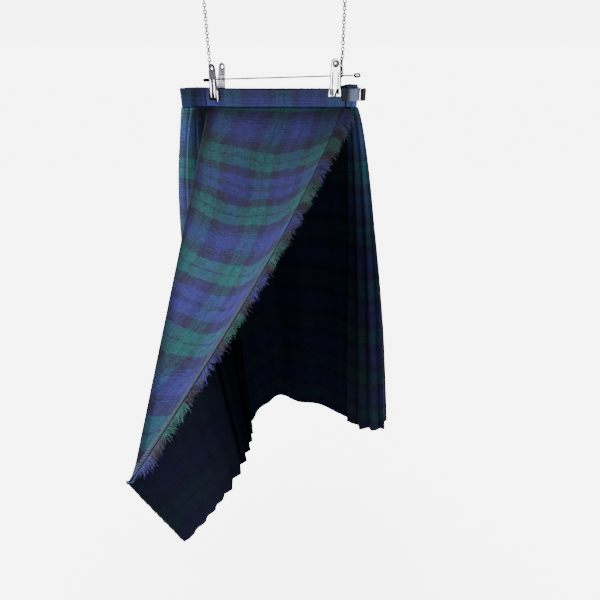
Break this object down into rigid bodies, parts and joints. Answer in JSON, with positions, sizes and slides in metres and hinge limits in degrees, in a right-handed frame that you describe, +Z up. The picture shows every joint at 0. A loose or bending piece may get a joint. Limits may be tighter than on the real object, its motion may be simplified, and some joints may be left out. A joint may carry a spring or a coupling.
{
  "type": "tartan wrap skirt on a clip hanger",
  "caption": "Kilt-style wrap skirt in dark tartan, with its fringed over-apron lifted forward, on a clip hanger held by two chains with hooks.",
  "frame": {"origin": "midway between the two chain hooks, where a rail bears under their tops", "axes": "+Z up, +X towards the buckled side of the waistband, -Y towards the front that the apron is lifted to"},
  "size_m": [0.475, 0.7584, 0.9423],
  "materials": {
    "tartan_cloth": "soft wool twill",
    "fringe_yarn": "loose wool yarn",
    "strap_leather": "semi-gloss",
    "bright_metal": "polished",
    "black_rubber": "satin"
  },
  "bodies": {
    "root": {"over_apron": "tartan_cloth", "apron_fringe": "fringe_yarn", "pleated_left": "tartan_cloth", "pleated_back": "tartan_cloth", "pleated_right": "tartan_cloth", "under_apron": "tartan_cloth", "waistband_front": "tartan_cloth", "waistband_back": "tartan_cloth", "waistband_under": "tartan_cloth", "hip_strap": "strap_leather", "strap_tail": "strap_leather", "buckle_frame": "bright_metal", "hanger_rod": "bright_metal", "rod_loop_left": "black_rubber", "rod_loop_right": "black_rubber", "clip_left_front_jaw": "bright_metal", "clip_left_back_jaw": "bright_metal", "clip_left_spring": "bright_metal", "clip_right_front_jaw": "bright_metal", "clip_right_back_jaw": "bright_metal", "clip_right_spring": "bright_metal", "chain_left": "bright_metal", "chain_right": "bright_metal", "hook_left": "bright_metal", "hook_right": "bright_metal"}
  },
  "joints": []
}
